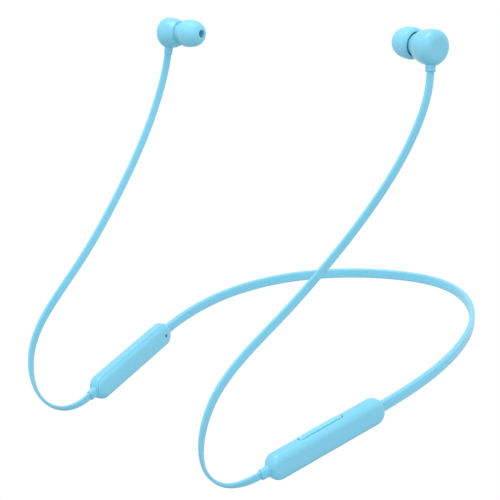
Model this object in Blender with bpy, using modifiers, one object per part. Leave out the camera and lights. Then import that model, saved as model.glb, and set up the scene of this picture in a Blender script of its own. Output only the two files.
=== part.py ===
# Wireless neckband earphones, modelled as worn: the band lies round the back of the neck, the two
# electronics modules hang forward from its ends and a flat cable rises from each module to its earbud.
# Frame: origin on the band's centreline at the middle of the nape, +X to the wearer's left,
# +Y to the wearer's back, +Z up.  Lengths below are millimetres; everything is built in metres.

import bpy
import bmesh
import math
import numpy as np
from mathutils import Vector, Matrix

MM = 0.001

# ------------------------------------------------------------------ driving dimensions (mm)
GAP = 0.3                     # clearance between neighbouring solids

MODULE_LENGTH = 57.0          # pill-shaped module housing
MODULE_HEIGHT = 11.1
MODULE_THICK = 7.6
MODULE_CORNER = 5.0           # corner radius of the wide face
MODULE_EDGE = 3.0             # rounding between wide face and sides
WALL = 1.1
SEAM_Y = -2.2                 # seam between outer shell and inner cover, from the mid plane
MODULE_DIR_LEFT = (-0.1987, -0.9493, -0.2436)    # rear end to front end
MODULE_DIR_RIGHT = (0.2220, -0.9467, -0.2313)
MODULE_ROLL_LEFT = 0.0        # degrees about its own length, outer face turned up
MODULE_ROLL_RIGHT = -6.0
MODULE_REAR_LEFT = (65.5, -120.5, -14.55)
MODULE_REAR_RIGHT = (-67.5, -117.4, -14.0)

BAND_WIDTH = 4.6
BAND_THICK = 2.3
BAND_NAPE_REACH = 27.0        # how far the band holds its line sideways out of the nape
BAND_ARM_REACH = 75.0         # and how far each module's own line carries on into its arm
FLEX_ARC = 62.0               # distance along the band from the nape to each flex line
WIRE_RADIUS = 0.35
WIRE_BORE = 0.70

CABLE_WIDTH = 3.5
CABLE_THICK = 1.2
GLAND_LENGTH = 3.3
CABLE_TURN_LEFT = (55.3, -190.0, 20.5)           # where the bend ends and the rise begins
CABLE_TURN_RIGHT = (-55.0, -192.0, 18.0)
CABLE_RISE_LEFT = (0.0, 0.88, 0.47)              # the cable's direction there
CABLE_RISE_RIGHT = (0.0, 0.74, 0.67)
BEND_REACH = 33.0             # how far the cable holds its line into and out of the bend
RISE_REACH = 35.0             # and along the rise, up to the stem
# the flat cable leaves the module standing on edge and turns through the bend until it faces sideways
TWIST_START = 90.0            # degrees of its width from sideways
TWIST_END = -98.0
TWIST_LEFT = 28.0             # distance from the module over which most of the turn is made
TWIST_RIGHT = 33.0

BUD_LEFT = (73.5, -107.1, 127.6)
BUD_RIGHT = (-72.8, -106.6, 125.0)
STEM_LEFT = (74.7, -108.7, 118.7)
STEM_RIGHT = (-73.5, -108.0, 115.4)
BUD_DIR_LEFT = (-0.980, 0.187, 0.069)        # from the outer face towards the ear canal
BUD_DIR_RIGHT = (0.996, 0.088, 0.024)
BUD_RADIUS = 6.9
BUD_BACK = 4.6                # outer face, behind the stem axis
BUD_CORNER = 3.6
BUD_SPLIT = 3.0               # joint between rear and front housing
BUD_FRONT = 6.2
BUD_FRONT_RADIUS = 5.2
BOSS_RADIUS = 4.5             # low step round the nozzle, under the tip's skirt
BUD_WALL = 0.9
NOZZLE_RADIUS = 2.5
NOZZLE_LIP = 2.8
NOZZLE_BORE = 1.8
NOZZLE_END = 14.0
TIP_RIM = 8.3
TIP_RIM_RADIUS = 4.9
TIP_WIDEST = 10.4
TIP_RADIUS = 6.15
TIP_END = 19.0
TIP_SHAPE = 2.7               # fullness of the dome, 2 is an ellipse
TIP_WALL = 0.6
STEM_WIDTH = 2.7              # along the bud's axis
STEM_DEPTH = 4.1              # across it, in line with the flat cable

ROCKER_LENGTH = 21.4
ROCKER_WIDTH = 2.4
ROCKER_Y = -0.2
ROCKER_AT = 1.4               # its middle, from the middle of the module
ROCKER_TOP = 6.2
ROCKER_PIVOT = 3.0

BLUE = (0.20, 0.56, 0.80, 1.0)

# ------------------------------------------------------------------ clean start
for old in list(bpy.data.objects):
    bpy.data.objects.remove(old)
for old in list(bpy.data.collections):
    bpy.data.collections.remove(old)

parts = bpy.data.collections.new("neckband_earphones")
cutters = bpy.data.collections.new("cutters")
bpy.context.scene.collection.children.link(parts)
bpy.context.scene.collection.children.link(cutters)


# ------------------------------------------------------------------ materials
def make_material(name, color, roughness, metallic=0.0):
    m = bpy.data.materials.new(name)
    m.use_nodes = True
    b = m.node_tree.nodes["Principled BSDF"]
    b.inputs["Base Color"].default_value = color
    b.inputs["Roughness"].default_value = roughness
    b.inputs["Metallic"].default_value = metallic
    return m


SHELL = make_material("shell_plastic", BLUE, 0.42)
SILICONE = make_material("silicone", (0.22, 0.60, 0.84, 1.0), 0.55)
CABLE = make_material("cable_jacket", (0.21, 0.57, 0.80, 1.0), 0.50)
BOARD = make_material("circuit_board_green", (0.02, 0.16, 0.09, 1.0), 0.50)
STEEL = make_material("steel", (0.60, 0.60, 0.60, 1.0), 0.30, 1.0)
MAGNET = make_material("magnet_nickel", (0.66, 0.66, 0.68, 1.0), 0.25, 1.0)
BLACK = make_material("black_plastic", (0.02, 0.02, 0.02, 1.0), 0.55)
CELL = make_material("battery_foil", (0.55, 0.57, 0.60, 1.0), 0.35, 0.6)
GREY = make_material("nylon_grey", (0.55, 0.58, 0.60, 1.0), 0.50)
LENS = make_material("light_guide", (0.16, 0.22, 0.24, 1.0), 0.20)


# ------------------------------------------------------------------ helpers
def unit(v):
    v = np.array(v, float)
    return v / np.linalg.norm(v)


def frame(x, y, centre):
    """matrix with local X along x, local Y close to y, at centre (mm)"""
    x = unit(x)
    z = unit(np.cross(x, unit(y)))
    y = np.cross(z, x)
    m = Matrix.Identity(4)
    for i, a in enumerate((x, y, z)):
        for j in range(3):
            m[j][i] = a[j]
    for j in range(3):
        m[j][3] = centre[j] * MM
    return m


def place(obj, matrix, material, cutter=False, smooth=True):
    obj.matrix_world = matrix
    if cutter:
        cutters.objects.link(obj)
        obj.hide_render = True
        obj.display_type = "WIRE"
    else:
        parts.objects.link(obj)
        obj.data.materials.clear()
        obj.data.materials.append(material)
        if smooth:
            obj.data.shade_smooth()
            obj.data.set_sharp_from_angle(angle=math.radians(35))
    return obj


def rounded_rect(lx, ly, r, n=4):
    """outline points (mm) of a rounded rectangle, anticlockwise"""
    out = []
    r = max(r, 0.0)
    for cx, cy, a0 in ((lx / 2 - r, ly / 2 - r, 0), (-lx / 2 + r, ly / 2 - r, 90),
                       (-lx / 2 + r, -ly / 2 + r, 180), (lx / 2 - r, -ly / 2 + r, 270)):
        if r < 1e-6:
            out.append((cx, cy))
            continue
        for k in range(n + 1):
            a = math.radians(a0 + 90.0 * k / n)
            out.append((cx + r * math.cos(a), cy + r * math.sin(a)))
    kept = [p for i, p in enumerate(out) if math.dist(p, out[i - 1]) > 1e-4]
    return kept


def curve_to_mesh(name, cu, weld=0.00001):
    tmp = bpy.data.objects.new(name + "_curve", cu)
    bpy.context.scene.collection.objects.link(tmp)
    dg = bpy.context.evaluated_depsgraph_get()
    me = bpy.data.meshes.new_from_object(tmp.evaluated_get(dg))
    bpy.data.objects.remove(tmp)
    bpy.data.curves.remove(cu)
    bm = bmesh.new()
    bm.from_mesh(me)
    bmesh.ops.remove_doubles(bm, verts=bm.verts, dist=weld)
    bmesh.ops.recalc_face_normals(bm, faces=bm.faces)
    bm.to_mesh(me)
    bm.free()
    me.name = name
    return me


def pill(name, x, y, centre, lx, ly, thick, corner, edge, material=None, cutter=False, n=4, res=1):
    """rounded block: outline lx by ly in the plane of x and y, thick across it, edges rounded by edge"""
    cu = bpy.data.curves.new(name, "CURVE")
    cu.dimensions = "2D"
    cu.fill_mode = "BOTH"
    cu.extrude = (thick / 2 - edge) * MM
    cu.bevel_depth = edge * MM
    cu.bevel_resolution = res
    pts = rounded_rect(lx - 2 * edge, ly - 2 * edge, max(corner - edge, 0.0), n)
    s = cu.splines.new("POLY")
    s.points.add(len(pts) - 1)
    for p, q in zip(s.points, pts):
        p.co = (q[0] * MM, q[1] * MM, 0, 1)
    s.use_cyclic_u = True
    me = curve_to_mesh(name, cu)
    return place(bpy.data.objects.new(name, me), frame(x, y, centre), material, cutter)


def block(name, x, y, centre, size, material=None, cutter=False, bevel=0.0):
    me = bpy.data.meshes.new(name)
    bm = bmesh.new()
    bmesh.ops.create_cube(bm, size=1.0)
    bmesh.ops.scale(bm, vec=[v * MM for v in size], verts=bm.verts)
    bm.to_mesh(me)
    bm.free()
    obj = place(bpy.data.objects.new(name, me), frame(x, y, centre), material, cutter)
    if bevel:
        m = obj.modifiers.new("rounded_edges", "BEVEL")
        m.width = bevel * MM
        m.segments = 1
        m.limit_method = "ANGLE"
    return obj


def rod(name, axis, centre, radius, length, material=None, cutter=False, n=16):
    me = bpy.data.meshes.new(name)
    bm = bmesh.new()
    bmesh.ops.create_cone(bm, cap_ends=True, segments=n, radius1=radius * MM, radius2=radius * MM, depth=length * MM)
    bm.to_mesh(me)
    bm.free()
    a = unit(axis)
    side = np.cross(a, (0.0, 0.0, 1.0)) if abs(a[2]) < 0.9 else np.cross(a, (1.0, 0.0, 0.0))
    x = unit(side)
    y = np.cross(a, x)
    return place(bpy.data.objects.new(name, me), frame(x, y, centre), material, cutter)


def turned(name, axis, centre, profile, material=None, steps=24, closed=False, up=(0, 0, 1)):
    """profile: (radius, distance along axis) in mm, running from the far end down the outer side"""
    me = bpy.data.meshes.new(name)
    vs = [(r * MM, 0.0, t * MM) for r, t in profile]
    es = [(i, i + 1) for i in range(len(vs) - 1)]
    if closed:
        es.append((len(vs) - 1, 0))
    me.from_pydata(vs, es, [])
    a = unit(axis)
    x = unit(np.array(up, float) - a * np.dot(a, up))
    y = np.cross(a, x)
    obj = place(bpy.data.objects.new(name, me), frame(x, y, centre), material)
    s = obj.modifiers.new("turn", "SCREW")
    s.axis = "Z"
    s.steps = steps
    s.render_steps = steps
    s.use_merge_vertices = True
    s.merge_threshold = 0.00001
    s.use_smooth_shade = True
    return obj


def boolean(obj, other, operation="DIFFERENCE"):
    m = obj.modifiers.new(operation.lower(), "BOOLEAN")
    m.operation = operation
    m.object = other
    m.solver = "EXACT"
    return m


def smooth_route(points, start_dir, end_dir):
    """cubic spline through the points, clamped to the end directions: returns a function of distance"""
    p = np.array(points, float)
    n = len(p)
    c = np.r_[0.0, np.cumsum(np.linalg.norm(np.diff(p, axis=0), axis=1))]
    h = np.diff(c)
    a = np.zeros((n, n))
    b = np.zeros((n, 3))
    a[0, 0] = a[-1, -1] = 1.0
    b[0], b[-1] = unit(start_dir), unit(end_dir)
    for i in range(1, n - 1):
        a[i, i - 1], a[i, i], a[i, i + 1] = h[i], 2 * (h[i - 1] + h[i]), h[i - 1]
        b[i] = 3 * (h[i] * (p[i] - p[i - 1]) / h[i - 1] + h[i - 1] * (p[i + 1] - p[i]) / h[i])
    d = np.linalg.solve(a, b)

    def at(u):
        i = int(min(max(np.searchsorted(c, u) - 1, 0), n - 2))
        t = (u - c[i]) / h[i]
        return ((2 * t**3 - 3 * t**2 + 1) * p[i] + (t**3 - 2 * t**2 + t) * h[i] * d[i]
                + (-2 * t**3 + 3 * t**2) * p[i + 1] + (t**3 - t**2) * h[i] * d[i + 1])

    fine = np.array([at(u) for u in np.linspace(0, c[-1], 1500)])
    arc = np.r_[0.0, np.cumsum(np.linalg.norm(np.diff(fine, axis=0), axis=1))]

    def by_length(s):
        return np.array([np.interp(s, arc, fine[:, k]) for k in range(3)])

    return by_length, arc[-1]


def cubic(p0, p1, p2, p3, count):
    """points inside a cubic that leaves p0 towards p1 and arrives at p3 from p2"""
    return [(1 - t)**3 * p0 + 3 * t * (1 - t)**2 * p1 + 3 * t * t * (1 - t) * p2 + t**3 * p3
            for t in np.linspace(0.0, 1.0, count + 2)[1:-1]]


def band_side(a, rear):
    """one side of the band: straight out of the nape, then into line with the module"""
    out = np.array((math.copysign(BAND_NAPE_REACH, rear[0]), 0.0, 0.0))
    return cubic(np.zeros(3), out, rear - a * BAND_ARM_REACH, rear, 4)


def cable_points(a, rear, stem, bud, turn, turn_dir):
    """bend forward of the module, then the rise into line with the stem"""
    start, stem, turn = rear + a * (MODULE_LENGTH + GLAND_LENGTH), np.array(stem), np.array(turn)
    w, rise = unit(turn_dir), unit(np.array(bud) - stem)
    return (cubic(start, start + a * BEND_REACH, turn - w * BEND_REACH, turn, 4) + [turn]
            + cubic(turn, turn + w * RISE_REACH, stem - rise * RISE_REACH, stem, 4))


def twist(reach):
    return [(s, TWIST_END + (TWIST_START - TWIST_END) * math.exp(-(s / reach)**1.6)) for s in range(0, 215, 5)]


def tangents(pts):
    """direction at each point, halfway between its two segments"""
    seg = [unit(b - a) for a, b in zip(pts[:-1], pts[1:])]
    return [seg[0]] + [unit(a + b) for a, b in zip(seg[:-1], seg[1:])] + [seg[-1]]


def ribbon(name, pts, width, thick, wide, material, as_mesh=False, res=1):
    """flat strip with half-round edges along pts; wide is the direction of its width at each point"""
    roll = []
    for t, w in zip(tangents(pts), wide):
        t = Vector(t)
        upright = (-t).to_track_quat("-Z", "Y") @ Vector((0.0, 1.0, 0.0))
        w = Vector(w)
        roll.append(math.atan2(w.dot(t.cross(upright)), w.dot(upright)))
    cu = bpy.data.curves.new(name, "CURVE")
    cu.dimensions = "3D"
    cu.fill_mode = "FULL"
    cu.twist_mode = "Z_UP"
    cu.extrude = (width - thick) / 2 * MM
    cu.bevel_depth = thick / 2 * MM
    cu.bevel_resolution = res
    cu.use_fill_caps = True
    s = cu.splines.new("POLY")
    s.points.add(len(pts) - 1)
    for p, q, a in zip(s.points, pts, roll):
        p.co = (q[0] * MM, q[1] * MM, q[2] * MM, 1)
        p.tilt = a
    if as_mesh:
        me = curve_to_mesh(name, cu)
        return place(bpy.data.objects.new(name, me), Matrix.Identity(4), material)
    obj = bpy.data.objects.new(name, cu)
    parts.objects.link(obj)
    cu.materials.append(material)
    return obj


def wire(name, pts, radius, material=None, cutter=False):
    cu = bpy.data.curves.new(name, "CURVE")
    cu.dimensions = "3D"
    cu.fill_mode = "FULL"
    cu.bevel_depth = radius * MM
    cu.bevel_resolution = 0 if not cutter else 1
    cu.use_fill_caps = True
    s = cu.splines.new("POLY")
    s.points.add(len(pts) - 1)
    for p, q in zip(s.points, pts):
        p.co = (q[0] * MM, q[1] * MM, q[2] * MM, 1)
    if cutter:
        me = curve_to_mesh(name, cu)
        return place(bpy.data.objects.new(name, me), Matrix.Identity(4), None, cutter=True)
    obj = bpy.data.objects.new(name, cu)
    parts.objects.link(obj)
    cu.materials.append(material)
    return obj


MIRROR = np.array([-1.0, 1.0, 1.0])
a_left = unit(MODULE_DIR_LEFT)
a_right = unit(MODULE_DIR_RIGHT)
rear_left = np.array(MODULE_REAR_LEFT)
rear_right = np.array(MODULE_REAR_RIGHT)

# ------------------------------------------------------------------ neckband
route = [rear_right + a_right * 0.8] + band_side(a_right, rear_right)[::-1] + [np.zeros(3)] \
    + band_side(a_left, rear_left) + [rear_left + a_left * 0.8]
band_at, band_length = smooth_route(route, -a_right, a_left)
samples = np.linspace(0, band_length, 4000)
apex = samples[int(np.argmin([abs(band_at(s)[0]) for s in samples]))]
flex_right, flex_left = apex - FLEX_ARC, apex + FLEX_ARC
clear = BAND_THICK / 2 + GAP


def stretch(s0, s1, n):
    return [band_at(s) for s in np.linspace(s0, s1, n)]


def band_piece(name, s0, s1, n, bore0, bore1):
    pts = stretch(s0, s1, n)
    obj = ribbon(name, pts, BAND_WIDTH, BAND_THICK, [(0, 0, 1)] * n, SILICONE, as_mesh=True)
    bore = wire(name + "_bore", stretch(s0, s1, n), WIRE_BORE, cutter=True)
    # the bore runs out past both ends
    me = bore.data
    ends = (np.array(pts[0]), unit(pts[0] - pts[1])), (np.array(pts[-1]), unit(pts[-1] - pts[-2]))
    for v in me.vertices:
        c = np.array(v.co) / MM
        for (e, d), more in zip(ends, (bore0, bore1)):
            if np.linalg.norm(c - e) < WIRE_BORE * 1.3:
                v.co = Vector((c + d * more) * MM)
    return obj, bore


nape_band, nape_bore = band_piece("nape_band", flex_right + clear, flex_left - clear, 31, 2.0, 2.0)
boolean(nape_band, nape_bore)
ribbon_steps = 24
for side, s_in, s_out in (("left", flex_left, band_length), ("right", flex_right, 0.0)):
    arm, bore = band_piece(side + "_arm_band", s_in, s_out, ribbon_steps, 2.0, 2.0)
    # the rounded end sits on the flex line, so the arm can swing without touching the nape part
    end = rod(side + "_arm_round", (0, 0, 1), band_at(s_in), BAND_THICK / 2, BAND_WIDTH - 0.4, cutter=True, n=20)
    boolean(arm, end, "UNION")
    boolean(arm, bore)
wire("nape_memory_wire", stretch(flex_right + clear + 0.4, flex_left - clear - 0.4, 31), WIRE_RADIUS, STEEL)
for side, s_in, s_out, a in (("left", flex_left + 0.2, band_length, a_left), ("right", flex_right - 0.2, 0.0, a_right)):
    pts = stretch(s_in, s_out, ribbon_steps)
    pts.append(pts[-1] + a * 2.4)
    wire(side + "_memory_wire", pts, WIRE_RADIUS, STEEL)


# ------------------------------------------------------------------ modules
def module(side):
    left = side == "left"
    a = a_left if left else a_right
    out = unit(np.cross((0, 0, 1), a)) * (1 if left else -1)      # outward, away from the neck
    up = unit(np.cross(a, out)) * (1 if left else -1)
    roll = math.radians(MODULE_ROLL_LEFT if left else MODULE_ROLL_RIGHT)
    out, up = out * math.cos(roll) + up * math.sin(roll), up * math.cos(roll) - out * math.sin(roll)
    rear = rear_left if left else rear_right
    mid = rear + a * (MODULE_LENGTH / 2)

    def at(s, y, z):
        return mid + a * s + out * y + up * z

    L, H, T = MODULE_LENGTH, MODULE_HEIGHT, MODULE_THICK
    big = L * 1.5

    shell = pill(side + "_outer_shell", a, up, at(0, 0, 0), L, H, T, MODULE_CORNER, MODULE_EDGE, SHELL, n=4, res=2)
    cover = pill(side + "_inner_cover", a, up, at(0, 0, 0), L, H, T, MODULE_CORNER, MODULE_EDGE, SHELL, n=4, res=2)
    cavity = pill(side + "_cavity", a, up, at(0, 0, 0), L - 2 * WALL, H - 2 * WALL, T - 2 * WALL,
                  MODULE_CORNER - WALL, MODULE_EDGE - WALL, cutter=True, n=3, res=1)
    below = block(side + "_cut_below", a, up, at(0, SEAM_Y - 10, 0), (big, 40, 20), cutter=True)
    above = block(side + "_cut_above", a, up, at(0, SEAM_Y - GAP + 10, 0), (big, 40, 20), cutter=True)
    boolean(shell, cavity)
    boolean(shell, below)
    boolean(cover, above)

    # rear entry for the band, front hole for the cable gland
    entry = pill(side + "_band_entry", out, up, at(-L / 2, 0, 0), BAND_THICK + 2 * GAP, BAND_WIDTH + 2 * GAP, 5.0,
                 1.4, 0.0, cutter=True, n=3, res=0)
    boolean(shell, entry)
    gy, gz = 2.6, 4.0
    hole = pill(side + "_gland_hole", out, up, at(L / 2, 0, 0), gy + 2 * GAP, gz + 2 * GAP, 5.0, 1.2, 0.0,
                cutter=True, n=3, res=0)
    boolean(shell, hole)

    gland_in = L / 2 - WALL - 3.0
    gland = pill(side + "_cable_gland", out, up, at((gland_in + L / 2 + GLAND_LENGTH) / 2, 0, 0), gy, gz,
                 L / 2 + GLAND_LENGTH - gland_in, 1.0, 0.25, SILICONE, n=3, res=0)
    flange = block(side + "_gland_flange", a, up, at(gland_in + 0.8, 0.1, 0), (1.0, 5.6, 3.8), cutter=True)
    boolean(gland, flange, "UNION")

    # crimp block that holds the end of the memory wire
    anchor = block(side + "_band_anchor", a, up, at(-L / 2 + 3.4, 0, 0), (1.8, 4.8, 2.8), GREY)
    slot = rod(side + "_anchor_bore", a, at(-L / 2 + 3.4, 0, 0), 0.68, 6.0, cutter=True, n=12)
    boolean(anchor, slot)

    if left:
        block("left_circuit_board", a, up, at(2.9, -0.2, 0), (34.2, 6.4, 0.8), BOARD)
        pill("left_battery", a, up, at(2.9, 1.4, -1.5), 30.0, 3.6, 1.8, 0.9, 0.5, CELL, n=2, res=0)
        # rocker with its pivot and two switches, in a slot in the top edge
        slot = pill("rocker_slot", a, out, at(ROCKER_AT, ROCKER_Y, 4.6), ROCKER_LENGTH + 2 * GAP, ROCKER_WIDTH + 2 * GAP, 5.0,
                    ROCKER_WIDTH / 2 + GAP, 0.0, cutter=True, n=4, res=0)
        boolean(shell, slot)
        low = ROCKER_PIVOT + 0.6 + GAP
        pill("volume_rocker", a, out, at(ROCKER_AT, ROCKER_Y, (ROCKER_TOP + low) / 2), ROCKER_LENGTH, ROCKER_WIDTH,
             ROCKER_TOP - low, ROCKER_WIDTH / 2, 0.35, SHELL, n=5, res=1)
        pivot = rod("rocker_pivot", out, at(ROCKER_AT, 1.25, ROCKER_PIVOT), 0.6, 1.5, STEEL, n=12)
        post = block("rocker_pivot_post", a, up, at(ROCKER_AT, 1.25, 1.75), (1.6, 2.0, 1.3), cutter=True)
        boolean(pivot, post, "UNION")
        for nm, s in (("volume_up_switch", 7.6), ("volume_down_switch", -7.6)):
            block(nm, a, up, at(ROCKER_AT + s, 1.4, 1.9), (3.0, 2.4, 1.7), BLACK)
        # multi-function button in the inner cover
        bs = 12.5
        b_hole = pill("multifunction_hole", a, up, at(bs, -3.3, 0), 8.0 + 2 * GAP, 4.4 + 2 * GAP, 5.0, 2.2 + GAP, 0.0,
                      cutter=True, n=4, res=0)
        boolean(cover, b_hole)
        button = pill("multifunction_button", a, up, at(bs, -2.85, 0), 8.0, 4.4, 2.5, 2.2, 0.3, SHELL, n=4, res=0)
        foot = pill("multifunction_foot", a, up, at(bs, -2.06, 0), 9.6, 6.0, 0.26, 3.0, 0.0, cutter=True, n=4, res=0)
        boolean(button, foot, "UNION")
        block("multifunction_switch", a, up, at(bs, -1.09, 0), (3.6, 2.8, 0.38), BLACK)
        # microphone behind a port in the cover
        port = rod("microphone_port", out, at(18.6, -3.3, 1.5), 0.5, 4.0, cutter=True, n=10)
        boolean(cover, port)
        block("microphone", a, up, at(18.6, -1.35, 1.5), (2.4, 1.8, 0.9), STEEL)
        # charging socket in the lower edge: a metal shell with a tongue, open downwards
        us = -19.2
        mouth = pill("usb_c_mouth", a, out, at(us, 0.1, -4.6), 8.9 + 2 * GAP, 3.2 + 2 * GAP, 3.6, 1.6 + GAP, 0.0,
                     cutter=True, n=4, res=0)
        boolean(shell, mouth)
        usb = pill("usb_c_receptacle", a, out, at(us, 0.1, -1.9), 8.9, 3.2, 6.8, 1.6, 0.0, STEEL, n=3, res=0)
        inner = pill("usb_c_inner", a, out, at(us, 0.1, -2.5), 8.3, 2.6, 6.8, 1.3, 0.0, cutter=True, n=3, res=0)
        tongue = block("usb_c_tongue", a, out, at(us, 0.1, -1.4), (6.6, 0.7, 5.4), cutter=True)
        boolean(inner, tongue)
        boolean(usb, inner)
    else:
        block("right_circuit_board", a, up, at(-1.0, -0.2, 0), (44.0, 8.0, 0.8), BOARD)
        pill("right_battery", a, up, at(4.0, 1.4, 0), 34.0, 6.4, 1.8, 0.9, 0.5, CELL, n=2, res=0)
        # power button in the outer face
        ps = -19.0
        p_hole = pill("power_hole", a, up, at(ps, 3.3, 0), 5.6 + 2 * GAP, 3.2 + 2 * GAP, 5.0, 1.6 + GAP, 0.0,
                      cutter=True, n=4, res=0)
        boolean(shell, p_hole)
        button = pill("power_button", a, up, at(ps, 2.75, 0), 5.6, 3.2, 2.7, 1.6, 0.3, SHELL, n=4, res=0)
        foot = pill("power_foot", a, up, at(ps, 2.1, 0), 7.0, 4.6, 0.5, 2.3, 0.0, cutter=True, n=4, res=0)
        boolean(button, foot, "UNION")
        block("power_switch", a, up, at(ps, 0.78, 0), (3.0, 2.6, 0.5), BLACK)
        # status light guide in the inner cover
        ls = -23.1
        l_hole = rod("light_hole", out, at(ls, -3.3, 0), 0.6 + GAP, 4.0, cutter=True, n=14)
        boolean(cover, l_hole)
        rod("status_light_guide", out, at(ls, -2.4, 0), 0.6, 2.8, LENS, n=14)
    return at


at_left = module("left")
at_right = module("right")


# ------------------------------------------------------------------ ear cables
def ear_cable(side, a, rear, points, stem, bud, roll):
    start = rear + a * (MODULE_LENGTH + GLAND_LENGTH + 0.4)
    rise = unit(np.array(bud) - np.array(stem))
    end = np.array(stem) - rise * 0.45
    along, length = smooth_route([start] + [np.array(p) for p in points] + [end], a, rise)
    n = 46
    ss = np.linspace(0, length, n)
    ang = np.interp(ss, [r[0] for r in roll], [r[1] for r in roll])
    ang = np.radians(np.convolve(np.r_[ang[:1], ang, ang[-1:]], (0.25, 0.5, 0.25), "valid"))
    pts = [along(s) for s in ss]
    wide = []
    for t, g in zip(tangents(pts), ang):
        across = unit(np.array((1.0, 0.0, 0.0)) - t * t[0])
        wide.append(math.cos(g) * across + math.sin(g) * np.cross(t, across))
    return ribbon(side + "_ear_cable", pts, CABLE_WIDTH, CABLE_THICK, wide, CABLE), length


left_cable, left_cable_length = ear_cable("left", a_left, rear_left,
                                          cable_points(a_left, rear_left, STEM_LEFT, BUD_LEFT, CABLE_TURN_LEFT, CABLE_RISE_LEFT),
                                          STEM_LEFT, BUD_LEFT, twist(TWIST_LEFT))
right_cable, right_cable_length = ear_cable("right", a_right, rear_right,
                                            cable_points(a_right, rear_right, STEM_RIGHT, BUD_RIGHT, CABLE_TURN_RIGHT, CABLE_RISE_RIGHT),
                                            STEM_RIGHT, BUD_RIGHT, twist(TWIST_RIGHT))


# ------------------------------------------------------------------ earbuds
def arc(cx, cy, rx, ry, a0, a1, n):
    return [(cx + rx * math.cos(math.radians(a0 + (a1 - a0) * k / n)),
             cy + ry * math.sin(math.radians(a0 + (a1 - a0) * k / n))) for k in range(n + 1)]


def taper(t):
    """outer radius of the housing in front of its back corner"""
    t0 = -BUD_BACK + BUD_CORNER
    s = (t - t0) / (BUD_FRONT - t0)
    return BUD_RADIUS - (BUD_RADIUS - BUD_FRONT_RADIUS) * max(s, 0.0)**2.4


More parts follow.
